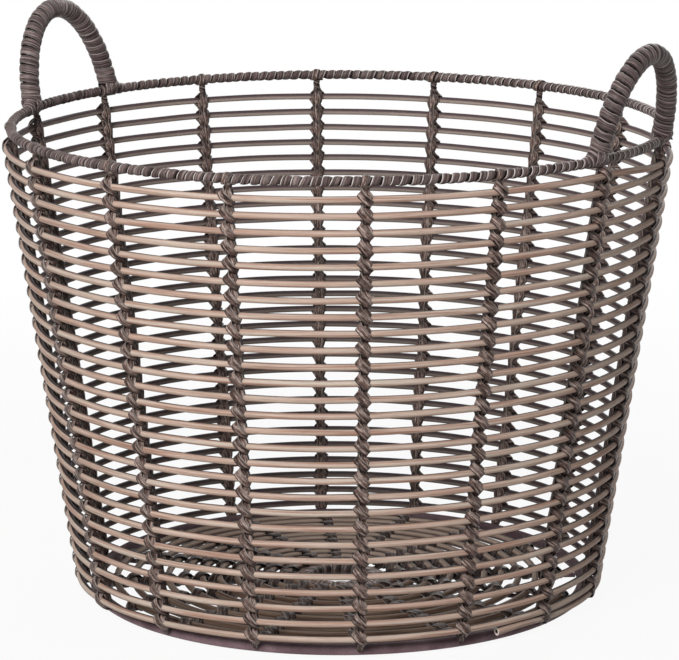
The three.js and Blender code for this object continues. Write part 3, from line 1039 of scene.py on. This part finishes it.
def cane_material(name, tones, back_tones, deep):
    """Resin cane: long streaks of warm tones on its outer side, dark on the side that faces into the basket.

    Tones run from pale to dark, and the outer side gets painted shade towards its upper and lower edges.
    Back tones are those of the inward side's edges and middle; for the wall cane the light middle is painted
    light bounced up from the floor, and a painted shade darkens the top of the cane. Deep is the share of
    its colour that the inward side keeps low in the basket, as painted shade that grows downward.
    """
    pale, light, mid, dark = colours(tones)
    back_edge, back_middle = colours(back_tones)
    material, tree, shader = start_material(name)
    around = section_place(tree)[1]
    band = strip_noise(tree, 8, 0.8, 2.0)
    streak = strip_noise(tree, 26, 2.2, 2.0, 3, 0.6)
    thread = strip_noise(tree, 80, 6, 2.4, 3, 0.65)
    patch = strip_noise(tree, 2.4, 0.1, 1.7)
    shade = times(
        tree,
        ramp(tree, thread, (0.3, 0.84), (0.55, 1.0), (0.75, 1.06)),
        ramp(tree, streak, (0.32, 0.78), (0.5, 1.0), (0.7, 1.04)),
    )
    warm = ramp(tree, patch, *CANE_WARMTH)
    # Painted shade towards the outer side's upper and lower edges
    under = ramp(tree, around, *CANE_UNDERSIDE_SHADE)
    front = ramp(tree, band, (0.32, dark), (0.44, mid), (0.54, light), (0.66, pale))
    front = times(tree, front, warm, shade, under)
    # Painted shade: the inward side darkens low in the basket and at the top of the cane
    height = parts_of(tree, object_place(tree))[2]
    painted_low_shade = ramp(tree, math_node(tree, "MULTIPLY", height, 1 / RIM_HEIGHT), (0.62, deep), (0.96, 1))
    painted_brow_shade = ramp(tree, around, (0.27, 0.42), (0.38, 1))
    back = ramp(tree, around, (0.43, back_edge), (0.53, back_middle), (0.7, back_middle), (0.78, back_edge))
    back = times(tree, back, painted_brow_shade, painted_low_shade, shade)
    wobble = math_node(tree, "MULTIPLY", math_node(tree, "SUBTRACT", band, 0.5), 0.04)
    place = math_node(tree, "ADD", around, wobble)
    side = ramp(tree, place, (0.18, 0), (0.205, 1), (0.795, 1), (0.82, 0))
    rough = ramp(tree, thread, (0.3, 0.62), (0.7, 0.48))
    dress(shader, mix(tree, side, front, back), rough, RESIN_SHINE)
    bump(tree, thread, CANE_GRAIN, 0.5, shader)
    return material


def cut_material(name, tones):
    """The cut end of the hollow cane, or its bore, whose dark tones are painted shade."""
    low, high = colours(tones)
    material, tree, shader = start_material(name)
    tint = ramp(tree, strip_noise(tree, 200, 2, 3), (0.35, low), (0.65, high))
    dress(shader, tint, 0.7, PLAIN_SHINE)
    return material


def strip_material(name, tones, edge_shade, streaks, patchy, wear_and_light, gloss, mottled):
    """Flat resin strip: lengthwise streaks over its width, paler edges that are partly worn and partly
    painted highlight, and painted shade where it lies deep in a knot.

    Tones are dark, middle, light and edge, and the third argument gives the brightness round the section:
    painted shade at the strip's sunken edges. Streaks sets how many lie over the width. The rest are shares:
    how patchy, how worn and highlit at the edges, how glossy and how mottled the strip is.
    """
    dark, mid, light, edge = colours(tones)
    material, tree, shader = start_material(name)
    around = section_place(tree)[1]
    painted_light_marks = section_place(tree, "painted_light_marks")[0]
    streak = strip_noise(tree, 60, streaks, 1.6, 3, 0.7)
    thread = strip_noise(tree, 200, streaks * 3, 1.6, 2, 0.6)
    patch = strip_noise(tree, 18, 0.3, 2.0)
    mottle = strip_noise(tree, 520, 1.6, 1.5)
    body = times(
        tree,
        ramp(tree, streak, (0.34, dark), (0.5, mid), (0.66, light)),
        ramp(tree, patch, (0.38, 1 - patchy), (0.6, 1 + patchy * 0.4)),
        ramp(tree, mottle, (0.4, 1 - mottled), (0.62, 1 + mottled * 0.6)),
        ramp(tree, thread, (0.38, 0.68), (0.56, 1.08)),
        # Painted shade at the strip's sunken edges
        ramp(tree, around, *edge_shade),
        # Painted light by the marks: shade deep in a knot, a painted highlight where they pass 1
        ramp(tree, painted_light_marks, (0.5, 0.16), (0.72, 0.3), (0.88, 0.74), (1.0, 1.14)),
    )
    # Pale edges, partly worn cut edge and partly painted highlight
    borders = ramp(tree, around, (0.0, 1), (0.04, 0.7), (0.09, 0), (0.86, 0), (0.95, 1))
    share = ramp(tree, patch, (0.62 - wear_and_light * 0.3, wear_and_light * 0.75), (0.75 - wear_and_light * 0.3, 0.3 + wear_and_light * 0.7))
    tint = mix(tree, times(tree, borders, share), body, edge)
    rough = ramp(tree, streak, (0.3, 0.74 - gloss * 0.3), (0.7, 0.58 - gloss * 0.3))
    dress(shader, tint, rough, RESIN_SHINE)
    bump(tree, streak, STRIP_GRAIN, 0.8, shader)
    return material


def wire_material(name, tones, wear_and_light=()):
    """Smooth coated wire with faint mottling, and with bands of painted light and shade round its section
    where given.
    """
    dark, light = colours(tones)
    material, tree, shader = start_material(name)
    place = object_place(tree)
    cloud = noise(tree, place, 60, 3)
    speck = noise(tree, place, 900)
    tint = ramp(tree, cloud, (0.35, dark), (0.65, light))
    tint = times(tree, tint, ramp(tree, speck, (0.35, 0.88), (0.65, 1.06)))
    if wear_and_light:
        tint = times(tree, tint, ramp(tree, section_place(tree)[1], *wear_and_light))
    dress(shader, tint, ramp(tree, speck, (0.3, 0.62), (0.7, 0.52)), WIRE_SHINE)
    bump(tree, speck, WIRE_GRAIN, 0.4, shader)
    return material


def floor_material():
    """White paper that glows where it is seen, and fades to plain white away from the basket's shadow."""
    material, tree, shader = start_material("floor_paper")
    place = object_place(tree)
    dress(shader, ramp(tree, noise(tree, place, 3), (0.3, 0.58), (0.7, 0.6)), 0.9, PAPER_SHINE)
    white = node(tree, "Emission")
    reach = node(tree, "VectorMath", operation="LENGTH")
    plug(place, reach.inputs[0])
    distance = math_node(tree, "MULTIPLY", reach.outputs["Value"], 1 / FLOOR_FADE)
    share = ramp(tree, distance, (0.4, FLOOR_WHITE), (1.0, 1))
    glow = math_node(tree, "MULTIPLY", share, seen_ray(tree))
    output = shader.outputs[0].links[0].to_node
    plug(mix_shaders(tree, glow, shader.outputs[0], white.outputs[0]), output.inputs[0])
    return material


def seen_ray(tree):
    """One for a ray from the camera, or through a shine or glass, and zero for a ray that carries light."""
    path = node(tree, "LightPath")
    direct = math_node(tree, "MAXIMUM", path.outputs["Is Camera Ray"], path.outputs["Is Glossy Ray"])
    return math_node(tree, "MAXIMUM", direct, path.outputs["Is Transmission Ray"])


def stand_for(piece, slot, *nodes):
    """Puts a piece on the basket's one body, in place of its CAD nodes. Its slot is not used."""
    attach(piece, "root")
    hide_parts(*nodes)


def build_canes():
    """The two canes."""
    cane = cane_material("resin_cane", CANE_TONES, CANE_BACK_TONES, CANE_BACK_LOW_SHADE)
    base = cane_material("base_resin_cane_shaded", BASE_CANE_SHADED_TONES, BASE_CANE_BACK_TONES, BASE_CANE_BACK_LOW_SHADE)
    cut = cut_material("cane_cut", CUT_TONES)
    bore = cut_material("cane_bore_shade", BORE_SHADE_TONES)
    stand_for(wall_cane(cane, cut, bore), "wall_cane", "wall_cane")
    stand_for(base_cane(base), "base_cane", "base_cane")


def build_windings():
    """The wound strips of the rim and the handles."""
    wound = strip_material("wound_strip", RIM_STRIP_TONES, WOUND_EDGE_SHADE, **RIM_STRIP_LOOK)
    grip = strip_material("grip_strip", HANDLE_STRIP_TONES, WOUND_EDGE_SHADE, **HANDLE_STRIP_LOOK)
    stand_for(rim_winding(wound), "strip", "rim_wrap")
    stand_for(handle_winding("handle_winding_right", grip, 0, 1), "strip", "handle_wrap_right")
    stand_for(handle_winding("handle_winding_left", grip, TURN / 2, -1), "strip", "handle_wrap_left")


def build_wires_and_lashings():
    """The base ring, the hub ring, and each stake and spoke with its lashing."""
    lash = strip_material("lashing_strip", LASH_TONES, FLAT_EDGE_SHADE, **LASH_LOOK)
    wire = wire_material("coated_wire", WIRE_TONES)
    ring_wire = wire_material("ring_wire", RING_TONES, RING_PAINTED_LIGHT)
    ring = wall_radius(BASE_RING_HEIGHT, -STAKE_RADIUS - RING_GAP) - BASE_RING_WIRE
    stand_for(hoop("base_ring_wire", ring, BASE_RING_WIRE, BASE_RING_HEIGHT, ring_wire), "wire", "base_ring")
    stand_for(hoop("base_hub_wire", HUB_RADIUS, HUB_WIRE, SPOKE_HEIGHT, wire), "wire", "base_hub")
    for stake in range(STAKE_COUNT):
        number = f"{stake + 1:02d}"
        angle = FIRST_STAKE + stake * BAY
        top = polar(wall_radius(STAKE_TOP), angle, STAKE_TOP)
        foot = polar(wall_radius(STAKE_FOOT), angle, STAKE_FOOT)
        stand_for(rod(f"stake_wire_{number}", foot, top, wire), "wire", f"stake_{number}")
        near = polar(HUB_RADIUS + HUB_WIRE, angle, SPOKE_HEIGHT)
        far = polar(SPOKE_OUTER, angle, SPOKE_HEIGHT)
        stand_for(rod(f"spoke_wire_{number}", near, far, wire), "wire", f"spoke_{number}")
        stand_for(lashing(stake, lash), "strip", f"lashing_{number}")


def finish_cores():
    """Gives the cores under the windings, which stay as the part has them, a dark finish."""
    padding = wire_material("core_padding", PADDING_TONES)
    for name in ("rim_core", "handle_core_right", "handle_core_left"):
        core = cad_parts[name]
        core.data.materials.clear()
        core.data.materials.append(padding)


def build_stage():
    """The sheet of paper that the basket stands on."""
    mesh = bpy.data.meshes.new("floor")
    half = FLOOR_SIZE / 2
    corners = [(-half, -half, 0), (half, -half, 0), (half, half, 0), (-half, half, 0)]
    mesh.from_pydata(corners, [], [(0, 1, 2, 3)])
    mesh.materials.append(floor_material())
    linked("floor", mesh)


def area_light(name, place, size, power):
    """A round lamp that looks at the basket."""
    data = bpy.data.lights.new(name, "AREA")
    data.shape = "DISK"
    data.size = size
    data.energy = power
    light = linked(name, data)
    light.location = place
    light.rotation_euler = (Vector(LAMP_TARGET) - place).to_track_quat("-Z", "Y").to_euler()


def from_camera(sideways, forward, height):
    """A place given as seen from the camera: to its right, away from it, and up."""
    right = Vector((math.cos(CAMERA_AZIMUTH), math.sin(CAMERA_AZIMUTH), 0))
    away = Vector((-math.sin(CAMERA_AZIMUTH), math.cos(CAMERA_AZIMUTH), 0))
    return right * sideways + away * forward + Vector((0, 0, height))


def build_light():
    """The lamps, and a world that is white to the eye and sheds little light."""
    for name, (place, size, power) in LAMPS.items():
        area_light(name, from_camera(*place), size, power)
    world = bpy.data.worlds.new("studio")
    bpy.context.scene.world = world
    world.use_nodes = True
    tree = world.node_tree
    tree.nodes.clear()
    output = node(tree, "OutputWorld")
    skies = []
    for tint, strength in ((WORLD_TINT, WORLD_LIGHT), (grey(1), 1.0)):
        sky = node(tree, "Background")
        plug(tint, sky.inputs["Color"])
        plug(strength, sky.inputs["Strength"])
        skies.append(sky.outputs[0])
    plug(mix_shaders(tree, seen_ray(tree), *skies), output.inputs[0])


def build_camera():
    """The camera of the photograph, as fitted to the basket's rim and base."""
    a, e = CAMERA_AZIMUTH, CAMERA_ELEVATION
    back = Vector((math.sin(a) * math.cos(e), -math.cos(a) * math.cos(e), math.sin(e)))
    right = Vector((math.cos(a), math.sin(a), 0))
    data = bpy.data.cameras.new("camera")
    data.lens = CAMERA_LENS
    data.sensor_width = CAMERA_SENSOR
    data.clip_end = CAMERA_FAR
    camera = linked("camera", data)
    camera.location = Vector((0, 0, CAMERA_TARGET)) + back * CAMERA_DISTANCE + right * CAMERA_SIDE
    camera.rotation_mode = "QUATERNION"
    camera.rotation_quaternion = (-back).to_track_quat("-Z", "Y")
    bpy.context.scene.camera = camera


build_canes()
build_windings()
build_wires_and_lashings()
finish_cores()
build_stage()
build_light()
build_camera()
scene = bpy.context.scene
scene.view_settings.view_transform = "Standard"
scene.view_settings.look = "None"
